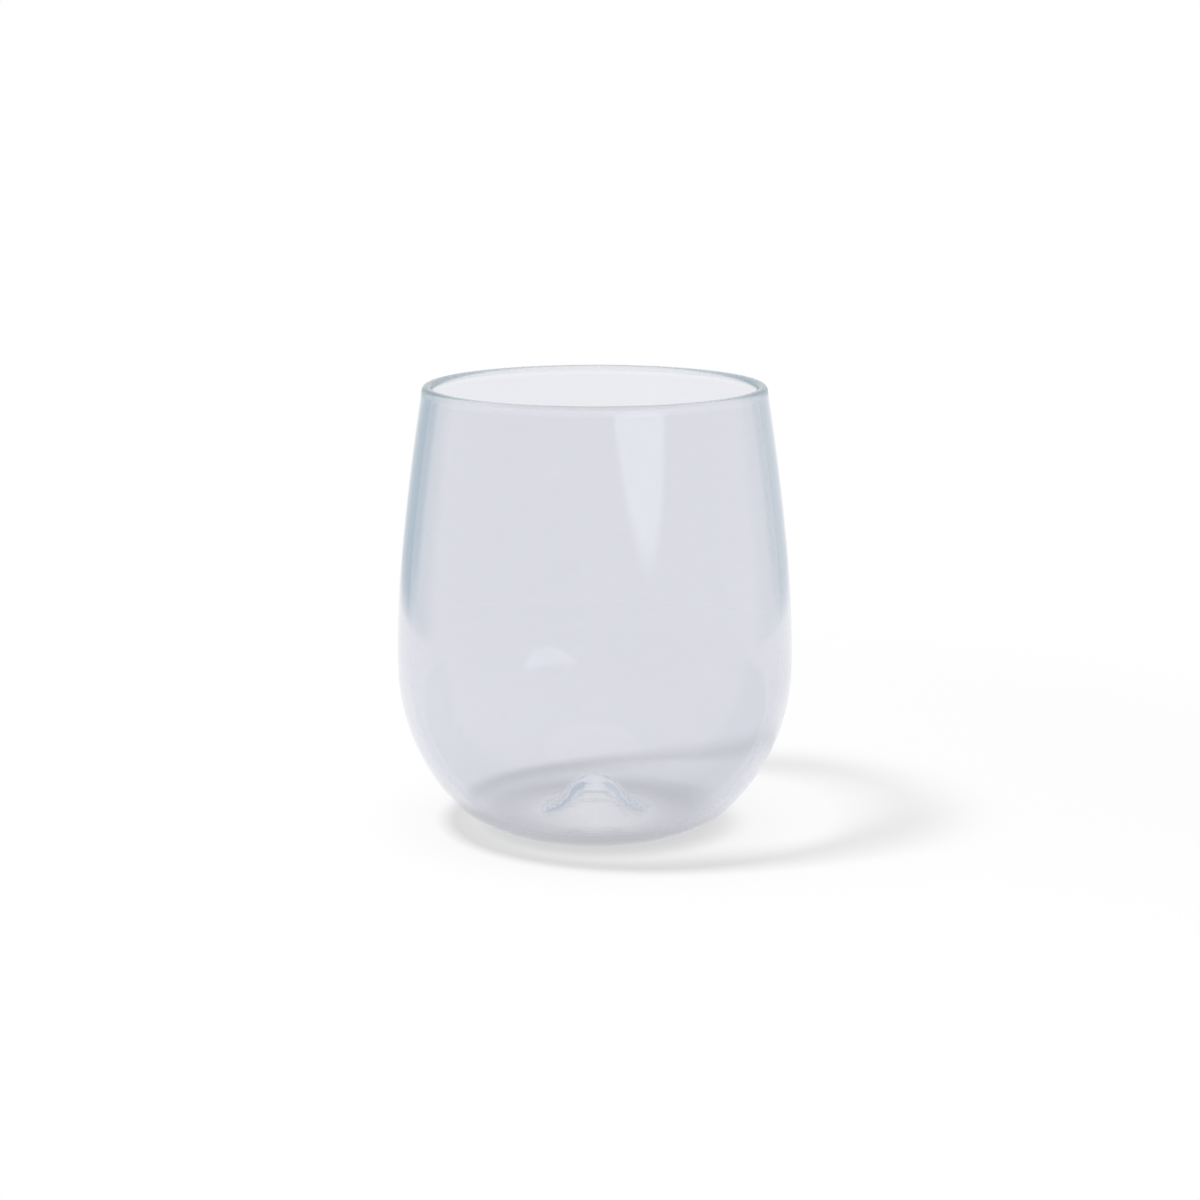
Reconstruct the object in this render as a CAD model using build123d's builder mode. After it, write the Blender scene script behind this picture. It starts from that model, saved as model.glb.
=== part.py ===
from build123d import *

import os
from math import cos, radians, sin

# Stemless wine tumbler: a single clear moulding, turned about Z, standing on z = 0.
# The outside runs in smooth arcs from the middle of the underside to the lip, and the inside keeps an even wall.

# Overall sizes, in millimetres
HEIGHT = 103.5
BELLY_RADIUS = 45.9
BELLY_HEIGHT = 38.6
RIM_RADIUS = 39.6
RIM_LEAN = radians(9.5)
WALL = 2.4

# Foot: the flat ring that stands on the table
FOOT_RADIUS = 18.9
FOOT_WIDTH = 3.4

# Punt: the bell pushed up into the middle of the base, hollow underneath
PUNT_RISE = 8.8

# Reach: how far the end tangents of each curve's first arc run before they cross
PUNT_REACH = 3.4
FOOT_REACH = 8.1
BELLY_REACH = 14.0

# The lip is a full round over the wall, so the side stops below the top of it
SIDE_TOP = HEIGHT - WALL / 2 * (1 - sin(RIM_LEAN))

# Directions in the section, where X is the radius and Y is the height
OUTWARDS = Vector(1, 0)
UPWARDS = Vector(0, 1)
UP_THE_RIM = Vector(-sin(RIM_LEAN), cos(RIM_LEAN))

# Points where the curves of the outside meet
PUNT_TOP = Vector(0, PUNT_RISE)
PUNT_FOOT = Vector(FOOT_RADIUS - FOOT_WIDTH, 0)
FOOT_EDGE = Vector(FOOT_RADIUS, 0)
BELLY = Vector(BELLY_RADIUS, BELLY_HEIGHT)
RIM = Vector(RIM_RADIUS, SIDE_TOP)


def two_arcs(start, start_way, end, end_way, reach):
    """Draw two arcs that leave the start one way, meet smoothly and come to the end another way."""
    span = end - start
    spare = span.dot(span) - 2 * reach * span.dot(start_way)
    end_reach = spare / (2 * span.dot(end_way) + 2 * reach * (1 - start_way.dot(end_way)))
    corner = start + start_way * reach
    joint = corner + (end - end_way * end_reach - corner) * (reach / (reach + end_reach))
    first = TangentArc(start, joint, tangent=start_way)
    return first, TangentArc(joint, end, tangent=first % 1)


def one_wall_in(arc):
    """Draw the arc that runs one wall to the left of another."""
    start, end = [arc @ place + (arc % place).rotate(Axis.Z, 90) * WALL for place in (0, 1)]
    return TangentArc(start, end, tangent=arc % 0)


with BuildPart() as tumbler:
    with BuildSketch(Plane.XZ) as section:
        with BuildLine() as outline:
            # Outside: punt, foot, lower side to the belly, upper side to the rim
            punt = two_arcs(PUNT_TOP, OUTWARDS, PUNT_FOOT, OUTWARDS, PUNT_REACH)
            Line(PUNT_FOOT, FOOT_EDGE)
            lower_side = two_arcs(FOOT_EDGE, OUTWARDS, BELLY, UPWARDS, FOOT_REACH)
            upper_side = two_arcs(BELLY, UPWARDS, RIM, UP_THE_RIM, BELLY_REACH)
            # Inside: the same line, one wall further in
            inside = [one_wall_in(arc) for arc in punt + lower_side + upper_side]
            Line(PUNT_FOOT + UPWARDS * WALL, FOOT_EDGE + UPWARDS * WALL)
            # Lip over the top of the wall, and the axis that closes the section
            TangentArc(RIM, inside[-1] @ 1, tangent=UP_THE_RIM)
            Line(PUNT_TOP, inside[0] @ 0)
        make_face()
    revolve(axis=Axis.Z)

tumbler.part.label = "tumbler"

os.makedirs("parts", exist_ok=True)
export_step(tumbler.part, "parts/tumbler.step")
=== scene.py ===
"""Looks of a stemless wine tumbler: one clear moulding, with its photograph's table, light and camera."""

import logging
from dataclasses import dataclass
from enum import Enum
from math import atan2, ceil, cos, log, pi, radians, sin
from typing import Any

import bmesh
import bpy
from mathutils import Matrix, Vector


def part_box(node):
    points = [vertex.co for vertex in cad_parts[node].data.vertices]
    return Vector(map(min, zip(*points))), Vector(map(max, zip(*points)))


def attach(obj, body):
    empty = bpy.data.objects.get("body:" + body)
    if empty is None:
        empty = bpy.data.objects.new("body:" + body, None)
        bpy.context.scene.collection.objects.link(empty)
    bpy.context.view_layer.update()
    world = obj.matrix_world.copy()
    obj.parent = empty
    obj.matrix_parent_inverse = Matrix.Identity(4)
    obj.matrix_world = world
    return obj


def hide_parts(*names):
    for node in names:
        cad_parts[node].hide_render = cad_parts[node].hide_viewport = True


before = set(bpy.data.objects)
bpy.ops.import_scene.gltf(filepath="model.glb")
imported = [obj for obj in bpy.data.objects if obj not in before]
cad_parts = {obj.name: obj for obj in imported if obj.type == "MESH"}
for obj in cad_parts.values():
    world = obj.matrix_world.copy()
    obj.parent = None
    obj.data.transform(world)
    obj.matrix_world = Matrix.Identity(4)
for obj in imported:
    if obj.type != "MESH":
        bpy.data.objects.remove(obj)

LOG = logging.getLogger("tumbler")
BODY = "root"
OUTSIDE = "outside"
Colour = tuple[float, float, float, float]

# Light that enters the lip runs down inside the wall, and comes out only after many reflections
WALL_BOUNCES = 400

# Places of a Mix node's colour sockets, whose names it shares with its other kinds of value
MIX_SHARE, MIX_FIRST, MIX_SECOND, MIX_RESULT = 0, 6, 7, 2


class Ray(Enum):
    """Kinds of ray that a surface can tell apart, by the name of their Light Path output."""

    CAMERA = "Is Camera Ray"
    GLOSSY = "Is Glossy Ray"
    TRANSMITTED = "Is Transmission Ray"
    SHADOW = "Is Shadow Ray"


class Wire:
    """A shader value that takes part in Python arithmetic, where each operator adds a Math node."""

    def __init__(self, bench: "Bench", socket: bpy.types.NodeSocket) -> None:
        """Keep the tree's bench and the output socket that carries the value."""
        self.bench = bench
        self.socket = socket

    def _math(self, operation: str, *values: "Wire | float") -> "Wire":
        """Add one Math node.

        Args:
            operation: the Math node's operation.
            values: what goes into its sockets, in order.

        Returns:
            The node's result.
        """
        return self.bench.wire("ShaderNodeMath", "Value", {"operation": operation}, dict(enumerate(values)))

    def __add__(self, other: "Wire | float") -> "Wire":
        """Add."""
        return self._math("ADD", self, other)

    def __radd__(self, other: float) -> "Wire":
        """Add to a number."""
        return self._math("ADD", other, self)

    def __sub__(self, other: "Wire | float") -> "Wire":
        """Take away."""
        return self._math("SUBTRACT", self, other)

    def __rsub__(self, other: float) -> "Wire":
        """Take away from a number."""
        return self._math("SUBTRACT", other, self)

    def __mul__(self, other: "Wire | float") -> "Wire":
        """Multiply."""
        return self._math("MULTIPLY", self, other)

    def __rmul__(self, other: float) -> "Wire":
        """Multiply a number."""
        return self._math("MULTIPLY", other, self)

    def __truediv__(self, other: "Wire | float") -> "Wire":
        """Divide."""
        return self._math("DIVIDE", self, other)

    def __rtruediv__(self, other: float) -> "Wire":
        """Divide a number."""
        return self._math("DIVIDE", other, self)

    def __abs__(self) -> "Wire":
        """Drop the sign."""
        return self._math("ABSOLUTE", self)

    def wave(self) -> "Wire":
        """Give the sine."""
        return self._math("SINE", self)

    def bearing(self, across: "Wire") -> "Wire":
        """Give the angle of a direction from its parts along and across."""
        return self._math("ARCTAN2", across, self)

    def root(self) -> "Wire":
        """Give the square root."""
        return self._math("SQRT", self)

    def most(self, other: "Wire | float") -> "Wire":
        """Give the greater of two values."""
        return self._math("MAXIMUM", self, other)

    def step(self, low: float, high: float) -> "Wire":
        """Rise smoothly from 0 to 1.

        Args:
            low: where the rise starts.
            high: where it ends, which may be below low for a fall.

        Returns:
            A value from 0 to 1.
        """
        return self.bench.wire(
            "ShaderNodeMapRange",
            "Result",
            {"interpolation_type": "SMOOTHSTEP"},
            {"Value": self, "From Min": low, "From Max": high},
        )


class Bench:
    """A node tree and the one method that adds nodes to it."""

    def __init__(self, tree: bpy.types.NodeTree) -> None:
        """Start from an empty tree."""
        self.tree = tree
        tree.nodes.clear()

    def node(
        self,
        kind: str,
        settings: dict[str, Any] | None = None,
        sockets: dict[str | int, Any] | None = None,
    ) -> bpy.types.Node:
        """Add a node.

        Args:
            kind: the node's type.
            settings: its own properties, set before its sockets.
            sockets: values, wires or output sockets for its inputs, by name or number.

        Returns:
            The new node.
        """
        made = self.tree.nodes.new(kind)
        for name, value in (settings or {}).items():
            setattr(made, name, value)
        for name, value in (sockets or {}).items():
            if isinstance(value, Wire):
                value = value.socket
            if isinstance(value, bpy.types.NodeSocket):
                self.tree.links.new(value, made.inputs[name])
            else:
                made.inputs[name].default_value = value
        return made

    def wire(
        self,
        kind: str,
        output: str,
        settings: dict[str, Any] | None = None,
        sockets: dict[str | int, Any] | None = None,
    ) -> Wire:
        """Add a node and give one of its outputs as a wire.

        Args:
            kind: the node's type.
            output: the name of the output.
            settings: the node's own properties.
            sockets: what goes into its inputs.

        Returns:
            The output, ready for arithmetic.
        """
        return Wire(self, self.node(kind, settings, sockets).outputs[output])

    def blend(self, share: Wire, first: Any, second: Any) -> bpy.types.NodeSocket:
        """Mix two colours.

        Args:
            share: how much of the second colour shows.
            first: colour or socket.
            second: colour or socket.

        Returns:
            The mixed colour's socket.
        """
        mixed = self.node(
            "ShaderNodeMix",
            {"data_type": "RGBA"},
            {MIX_SHARE: share, MIX_FIRST: first, MIX_SECOND: second},
        )
        return mixed.outputs[MIX_RESULT]

    def ray(self, kind: Ray) -> Wire:
        """Give 1 for one kind of ray and 0 for the others."""
        return self.wire("ShaderNodeLightPath", kind.value)

    def seen(self) -> Wire:
        """Give 1 for rays that show a picture: from the camera, off a gloss or through the clear wall."""
        return self.ray(Ray.CAMERA).most(self.ray(Ray.GLOSSY)).most(self.ray(Ray.TRANSMITTED))


@dataclass(frozen=True)
class ClearPlastic:
    """Clear moulded plastic: a lavender cast on the outside and a little teal in its depth.

    Lengths are in metres, apart from the cast's and the heel's reach, which are in radii of the punt.
    """

    cast_colour: Colour = (0.695, 0.702, 0.765, 1.0)
    clear_colour: Colour = (0.99, 0.99, 0.995, 1.0)
    scuffed_colour: Colour = (0.80, 0.81, 0.83, 1.0)
    cast_start: float = 0.6
    cast_end: float = 1.7
    depth_colour: tuple[float, float, float] = (0.985, 0.992, 0.994)
    depth: float = 0.025
    refraction: float = 1.54
    polish: float = 0.01
    scuffed: float = 0.09
    scuff_scale: float = 140.0
    scuff_detail: float = 6.0
    scuff_grain: float = 0.7
    scuff_start: float = 0.56
    scuff_full: float = 0.78
    scuff_share: float = 0.25
    flow_scale: float = 26.0
    flow_stretch: tuple[float, float, float] = (1.0, 1.0, 0.3)
    flow_depth: float = 0.00002
    ripple_pitch: float = 0.0016
    ripple_depth: float = 0.000012
    foot_wear: float = 0.0006
    foot_start: float = 0.35
    foot_full: float = 0.6
    foot_share: float = 0.2
    lip_start: float = 0.1012
    lip_full: float = 0.1024
    lip_dullness: float = 0.22
    absorption_room: float = 1.25
    pale_shade: Colour = (1.0, 1.0, 1.0, 1.0)
    deep_shade: Colour = (0.05, 0.05, 0.055, 1.0)
    shade_start: float = 0.54
    shade_end: float = 0.94
    heel_height: float = 0.008
    heel_start: float = 0.4
    heel_full: float = 1.5
    heel_shade: float = 0.7

    def absorption(self) -> tuple[Colour, float]:
        """Work out the absorption that leaves the depth colour after the given depth of plastic.

        Returns:
            The colour and density for a Volume Absorption node.
        """
        taken = [-log(share) / self.depth for share in self.depth_colour]
        density = max(taken) * self.absorption_room
        red, green, blue = (1 - each / density for each in taken)
        return (red, green, blue, 1.0), density

    def material(self, name: str, punt_radius: float) -> bpy.types.Material:
        """Make the node material.

        Args:
            name: the material's name.
            punt_radius: how far the moulding ripples reach from the axis.

        Returns:
            The material.
        """
        made = bpy.data.materials.new(name)
        made.use_nodes = True
        bench = Bench(made.node_tree)
        place = bench.node("ShaderNodeTexCoord").outputs["Object"]
        apart = bench.node("ShaderNodeSeparateXYZ", sockets={0: place})
        x, y, z = (Wire(bench, apart.outputs[axis]) for axis in "XYZ")
        radius = (x * x + y * y).root()

        # Flow of the melt, drawn out upwards, and rings left by the tool round the punt
        drawn_out = bench.node("ShaderNodeMapping", sockets={"Vector": place, "Scale": self.flow_stretch})
        flow = bench.wire(
            "ShaderNodeTexNoise",
            "Fac",
            sockets={"Vector": drawn_out.outputs[0], "Scale": self.flow_scale, "Detail": 1.0},
        )
        rings = (radius * (2 * pi / self.ripple_pitch)).wave() * radius.step(punt_radius, punt_radius / 2)
        rings = rings * z.step(2 * punt_radius, punt_radius)
        height = flow * self.flow_depth + rings * self.ripple_depth
        bump = bench.node("ShaderNodeBump", sockets={"Strength": 1.0, "Distance": 1.0, "Height": height})

        # Fine scuffs from washing, a foot that is worn where it stands, and a duller lip
        scratches = bench.wire(
            "ShaderNodeTexNoise",
            "Fac",
            sockets={
                "Vector": place,
                "Scale": self.scuff_scale,
                "Detail": self.scuff_detail,
                "Roughness": self.scuff_grain,
            },
        )
        scuffs = scratches.step(self.scuff_start, self.scuff_full) * self.scuff_share
        worn = scratches.step(self.foot_start, self.foot_full) * self.foot_share
        worn = worn * z.step(self.foot_wear, 0.0)
        wear = scuffs.most(worn)
        outside = bench.wire("ShaderNodeAttribute", "Fac", {"attribute_name": OUTSIDE})
        cast = outside * radius.step(self.cast_start * punt_radius, self.cast_end * punt_radius)
        tinted = bench.blend(cast, self.clear_colour, self.cast_colour)
        colour = bench.blend(wear, tinted, self.scuffed_colour)
        dull_lip = z.step(self.lip_start, self.lip_full) * self.lip_dullness
        roughness = self.polish + wear * (self.scuffed - self.polish) + dull_lip
        clear = bench.node(
            "ShaderNodeBsdfPrincipled",
            sockets={
                "Base Color": colour,
                "Roughness": roughness,
                "IOR": self.refraction,
                "Transmission Weight": 1.0,
                "Normal": bump.outputs[0],
            },
        )

        # Light goes through to the table, least where it meets the wall at a slant or close to the foot
        slant = bench.wire("ShaderNodeLayerWeight", "Facing", sockets={"Blend": 0.5})
        pale = bench.node("ShaderNodeBsdfTransparent", sockets={"Color": self.pale_shade})
        deep = bench.node("ShaderNodeBsdfTransparent", sockets={"Color": self.deep_shade})
        heel = radius.step(self.heel_start * punt_radius, self.heel_full * punt_radius)
        heel = heel * z.step(self.heel_height, 0.0)
        held = slant.step(self.shade_start, self.shade_end).most(heel * self.heel_shade)
        shade = bench.node("ShaderNodeMixShader", sockets={0: held, 1: pale.outputs[0], 2: deep.outputs[0]})
        surface = bench.node(
            "ShaderNodeMixShader",
            sockets={0: bench.ray(Ray.SHADOW), 1: clear.outputs[0], 2: shade.outputs[0]},
        )
        tint, density = self.absorption()
        inside = bench.node("ShaderNodeVolumeAbsorption", sockets={"Color": tint, "Density": density})
        bench.node(
            "ShaderNodeOutputMaterial",
            sockets={"Surface": surface.outputs[0], "Volume": inside.outputs[0]},
        )
        return made


@dataclass(frozen=True)
class WhiteTable:
    """A matt white table top that fades into the white room. Lengths are in metres."""

    colour: Colour = (0.93, 0.93, 0.935, 1.0)
    lift: float = 0.6
    fade_start: float = 0.13
    fade_end: float = 0.26

    def material(self, name: str) -> bpy.types.Material:
        """Make the node material.

        Args:
            name: the material's name.

        Returns:
            The material.
        """
        made = bpy.data.materials.new(name)
        made.use_nodes = True
        bench = Bench(made.node_tree)
        place = bench.node("ShaderNodeTexCoord").outputs["Object"]
        apart = bench.node("ShaderNodeSeparateXYZ", sockets={0: place})
        x, y = (Wire(bench, apart.outputs[axis]) for axis in "XY")
        far = (x * x + y * y).root().step(self.fade_start, self.fade_end)
        bright = (self.lift + far * (1 - self.lift)) * bench.seen()
        matt = bench.node("ShaderNodeBsdfDiffuse", sockets={"Color": self.colour})
        white = bench.node("ShaderNodeEmission", sockets={"Strength": 1.0})
        surface = bench.node(
            "ShaderNodeMixShader",
            sockets={0: bright, 1: matt.outputs[0], 2: white.outputs[0]},
        )
        bench.node("ShaderNodeOutputMaterial", sockets={"Surface": surface.outputs[0]})
        return made


@dataclass(frozen=True)
class WhiteRoom:
    """A white room with a window at the front right and a grey panel each side at the back, as a world."""

    white: Colour = (1.0, 1.0, 1.0, 1.0)
    window: Colour = (1.9, 1.92, 1.95, 1.0)
    left_panel: Colour = (0.59, 0.69, 0.74, 1.0)
    right_panel: Colour = (0.74, 0.80, 0.83, 1.0)
    fill: Colour = (0.45, 0.45, 0.455, 1.0)
    sill_bearing: float = radians(33.1)
    sill_height: float = -0.008
    left_curve: float = 1.28
    right_curve: float = 2.48
    softness: float = 0.06
    window_top: float = 0.19
    window_fade: float = 0.25
    panel_start: float = radians(13.0)
    panel_full: float = radians(18.0)
    panel_end: float = radians(60.0)
    panel_gone: float = radians(75.0)
    panel_foot: float = -0.195
    panel_waist: float = -0.155
    panel_meet: float = 0.1

    def world(self, name: str) -> bpy.types.World:
        """Make the world.

        Args:
            name: the world's name.

        Returns:
            The world, lit by its fill and seen as its walls.
        """
        made = bpy.data.worlds.new(name)
        made.use_nodes = True
        bench = Bench(made.node_tree)
        towards = bench.node("ShaderNodeTexCoord").outputs["Generated"]
        apart = bench.node("ShaderNodeSeparateXYZ", sockets={0: towards})
        x, y, z = (Wire(bench, apart.outputs[axis]) for axis in "XYZ")

        # The window's lower end is rounded, and its two edges rise from there ever more steeply
        aside = (-1.0 * y).bearing(x) - self.sill_bearing
        right, left = aside.most(0.0), (-1.0 * aside).most(0.0)
        edge = right * right * self.right_curve + left * left * self.left_curve
        lit = (z - edge).step(self.sill_height, self.sill_height + self.softness)
        lit = lit * z.step(self.window_fade, self.window_top)
        walls = bench.blend(lit, self.white, self.window)

        # The panels stand just outside the picture, and only the edges of the clear wall show them
        behind = abs(y.bearing(x))
        shown = behind.step(self.panel_start, self.panel_full) * behind.step(self.panel_gone, self.panel_end)
        shown = shown * z.step(self.panel_foot, self.panel_waist)
        side = x.step(-self.panel_meet, self.panel_meet)
        panels = bench.blend(side, self.left_panel, self.right_panel)
        around = bench.blend(shown, walls, panels)
        colour = bench.blend(bench.seen(), self.fill, around)
        back = bench.node("ShaderNodeBackground", sockets={"Color": colour, "Strength": 1.0})
        bench.node("ShaderNodeOutputWorld", sockets={"Surface": back.outputs[0]})
        return made


@dataclass(frozen=True)
class Station:
    """A point where two stretches of the half section meet, with the direction of the line there."""

    place: Vector
    way: Vector

    @property
    def left(self) -> Vector:
        """Give the direction to the left of the line, which is the inside of the wall."""
        return Vector((-self.way.z, 0.0, self.way.x))

    def moved(self, wall: float) -> Vector:
        """Give the point one wall further in."""
        return self.place + self.left * wall

    def meet(self, end: "Station", reach: float) -> "Station":
        """Find where two arcs from here to another station meet smoothly.

        Args:
            end: where the second arc ends.
            reach: how far the end tangents of the first arc run before they cross.

        Returns:
            The station between the two arcs.
        """
        span = end.place - self.place
        spare = span.length_squared - 2 * reach * span.dot(self.way)
        end_reach = spare / (2 * span.dot(end.way) + 2 * reach * (1 - self.way.dot(end.way)))
        corner = self.place + self.way * reach
        along = end.place - end.way * end_reach - corner
        return Station(corner + along * (reach / (reach + end_reach)), along.normalized())


class Pen:
    """Draws a half section as one line of vertices, in the plane of X and Z."""

    straight = 0.0001

    def __init__(self, start: Station, turn_step: float, stride: float) -> None:
        """Put the pen down.

        Args:
            start: where the line starts.
            turn_step: the greatest turn from one vertex to the next.
            stride: the greatest distance from one vertex to the next.
        """
        self.shape = bmesh.new()
        self.outside = self.shape.verts.layers.float.new(OUTSIDE)
        self.tip = self.shape.verts.new(start.place)
        self.mark(1.0)
        self.way = start.way
        self.turn_step = turn_step
        self.stride = stride

    def mark(self, outside: float) -> None:
        """Say how far what is drawn from here on belongs to the outside."""
        self.tip[self.outside] = outside

    def draw_to(self, end: Vector) -> None:
        """Draw on to a point, straight where it lies ahead and else by an arc that leaves the line smoothly.

        Args:
            end: where the stroke ends.
        """
        here = Station(self.tip.co.copy(), self.way)
        chord = end - here.place
        ahead = here.way.dot(chord)
        aside = here.left.dot(chord)
        if abs(aside) < chord.length * self.straight:
            made = bmesh.ops.extrude_vert_indiv(self.shape, verts=[self.tip])
            bmesh.ops.translate(self.shape, verts=made["verts"], vec=chord)
            self.tip = made["verts"][0]
            return
        turn = 2 * atan2(aside, ahead)
        made = bmesh.ops.spin(
            self.shape,
            geom=[self.tip],
            cent=here.moved(chord.length_squared / (2 * aside)),
            axis=(0.0, -1.0, 0.0),
            angle=turn,
            steps=ceil(max(abs(turn) / self.turn_step, chord.length / self.stride)),
        )
        self.tip = next(part for part in made["geom_last"] if isinstance(part, bmesh.types.BMVert))
        self.way = Matrix.Rotation(turn, 3, (0.0, -1.0, 0.0)) @ self.way


@dataclass
class Tumbler:
    """The moulding: a half section of arcs, turned about Z. Lengths are in metres."""

    height: float
    belly_radius: float
    belly_height: float = 0.0386
    rim_radius: float = 0.0396
    rim_lean: float = radians(9.5)
    wall: float = 0.0024
    foot_radius: float = 0.0189
    foot_width: float = 0.0034
    punt_rise: float = 0.0088
    punt_reach: float = 0.0034
    foot_reach: float = 0.0081
    belly_reach: float = 0.0140
    lip_cast: float = 0.5
    turn_step: float = radians(8.0)
    stride: float = 0.0016
    round_steps: int = 384

    @classmethod
    def in_frame(cls, node: str) -> "Tumbler":
        """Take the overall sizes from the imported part.

        Args:
            node: the part's node.

        Returns:
            A tumbler of that height and width.
        """
        low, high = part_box(node)
        return cls(height=high.z - low.z, belly_radius=(high.x - low.x) / 2)

    def outside(self) -> list[Station]:
        """Give the stations of the outside, from the middle of the underside to the rim.

        Returns:
            The top of the punt, its joint and foot, the foot's edge, the side's joints, belly and rim.
        """
        outwards = Vector((1.0, 0.0, 0.0))
        upwards = Vector((0.0, 0.0, 1.0))
        up_the_rim = Vector((-sin(self.rim_lean), 0.0, cos(self.rim_lean)))
        side_top = self.height - self.wall / 2 * (1 - sin(self.rim_lean))
        punt_top = Station(upwards * self.punt_rise, outwards)
        punt_foot = Station(outwards * (self.foot_radius - self.foot_width), outwards)
        foot_edge = Station(outwards * self.foot_radius, outwards)
        belly = Station(outwards * self.belly_radius + upwards * self.belly_height, upwards)
        rim = Station(outwards * self.rim_radius + upwards * side_top, up_the_rim)
        return [
            punt_top,
            punt_top.meet(punt_foot, self.punt_reach),
            punt_foot,
            foot_edge,
            foot_edge.meet(belly, self.foot_reach),
            belly,
            belly.meet(rim, self.belly_reach),
            rim,
        ]

    def build(self, name: str) -> bpy.types.Object:
        """Draw the section up the outside, over the lip and down the inside, and turn it.

        Args:
            name: the piece's name.

        Returns:
            The piece, linked to the scene, with its place in its mesh.
        """
        stations = self.outside()
        pen = Pen(stations[0], self.turn_step, self.stride)
        for station in stations[1:]:
            pen.draw_to(station.place)
        pen.mark(self.lip_cast)
        pen.draw_to(stations[-1].moved(self.wall))
        pen.mark(0.0)
        for station in reversed(stations[:-1]):
            pen.draw_to(station.moved(self.wall))
        shape = pen.shape
        bmesh.ops.spin(
            shape,
            geom=shape.verts[:] + shape.edges[:],
            cent=(0.0, 0.0, 0.0),
            axis=(0.0, 0.0, 1.0),
            angle=2 * pi,
            steps=self.round_steps,
            use_merge=True,
        )
        bmesh.ops.remove_doubles(shape, verts=shape.verts[:], dist=self.wall / 1000)
        bmesh.ops.recalc_face_normals(shape, faces=shape.faces[:])
        for face in shape.faces:
            face.smooth = True
        mesh = bpy.data.meshes.new(name)
        shape.to_mesh(mesh)
        shape.free()
        piece = bpy.data.objects.new(name, mesh)
        bpy.context.scene.collection.objects.link(piece)
        return piece

    def dress(self, piece: bpy.types.Object, finish: ClearPlastic, slot: str) -> None:
        """Give the piece its finish.

        Args:
            piece: the built piece.
            finish: the plastic that it is moulded in.
            slot: the record's material slot.
        """
        punt_radius = self.foot_radius - self.foot_width
        piece.data.materials.append(finish.material(slot, punt_radius))


@dataclass
class Studio:
    """The table and the lamp. Lengths are in metres, and the lamp's power is in watts."""

    table: WhiteTable
    room: WhiteRoom
    table_reach: float = 0.3
    table_sides: int = 96
    table_gap: float = 0.0001
    key_place: tuple[float, float, float] = (-0.38, -0.15, 1.0)
    key_size: float = 0.18
    key_power: float = 8.9

    def lay_table(self) -> bpy.types.Object:
        """Make the table top, with a hair of air between it and the foot.

        Returns:
            The table.
        """
        shape = bmesh.new()
        below = Matrix.Translation((0.0, 0.0, -self.table_gap))
        bmesh.ops.create_circle(
            shape,
            cap_ends=True,
            radius=self.table_reach,
            segments=self.table_sides,
            matrix=below,
        )
        mesh = bpy.data.meshes.new("table_top")
        shape.to_mesh(mesh)
        shape.free()
        mesh.materials.append(self.table.material("table_top"))
        table = bpy.data.objects.new("table_top", mesh)
        bpy.context.scene.collection.objects.link(table)
        return table

    def light(self, middle: Vector) -> None:
        """Set the room and hang the key, a square softbox that only lights: reflections show the room alone.

        Args:
            middle: the middle of the object.
        """
        bpy.context.scene.world = self.room.world("white_room")
        lamp = bpy.data.lights.new("key", "AREA")
        lamp.shape = "SQUARE"
        lamp.size = self.key_size
        lamp.energy = self.key_power
        softbox = bpy.data.objects.new("key", lamp)
        softbox.location = self.key_place
        softbox.rotation_euler = (middle - Vector(self.key_place)).to_track_quat("-Z", "Y").to_euler()
        softbox.visible_camera = False
        softbox.visible_glossy = False
        softbox.visible_transmission = False
        bpy.context.scene.collection.objects.link(softbox)


@dataclass
class PhotoCamera:
    """The photograph's camera, fitted to the outline and the rim. Lengths are in metres."""

    back: float = 0.650
    above: float = 0.18418
    pitch: float = radians(11.40)
    pan: float = radians(-0.106)
    lens_mm: float = 85.566
    sensor_mm: float = 36.0

    def place(self) -> bpy.types.Object:
        """Make the camera and look through it.

        Returns:
            The camera.
        """
        data = bpy.data.cameras.new("photo_camera")
        data.sensor_width = self.sensor_mm
        data.lens = self.lens_mm
        camera = bpy.data.objects.new("photo_camera", data)
        camera.location = (0.0, -self.back, self.above)
        camera.rotation_euler = (pi / 2 - self.pitch, 0.0, self.pan)
        bpy.context.scene.collection.objects.link(camera)
        bpy.context.scene.camera = camera
        return camera


def main() -> None:
    """Build the piece, the stage and the camera, and log the piece's faces."""
    logging.basicConfig(level=logging.INFO)
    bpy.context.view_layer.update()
    tumbler = Tumbler.in_frame("tumbler")
    piece = tumbler.build("clear_tumbler")
    tumbler.dress(piece, ClearPlastic(), "clear_body")
    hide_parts("tumbler")
    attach(piece, BODY)
    LOG.info("%s rides on %s, with %d faces", piece.name, BODY, len(piece.data.polygons))

    studio = Studio(WhiteTable(), WhiteRoom())
    studio.lay_table()
    studio.light(Vector((0.0, 0.0, tumbler.height / 2)))
    PhotoCamera().place()

    scene = bpy.context.scene
    scene.view_settings.view_transform = "Standard"
    scene.cycles.max_bounces = WALL_BOUNCES
    scene.cycles.transmission_bounces = WALL_BOUNCES
    scene.cycles.glossy_bounces = WALL_BOUNCES
    scene.cycles.caustics_refractive = False
    scene.cycles.caustics_reflective = False


if __name__ == "__main__":
    main()
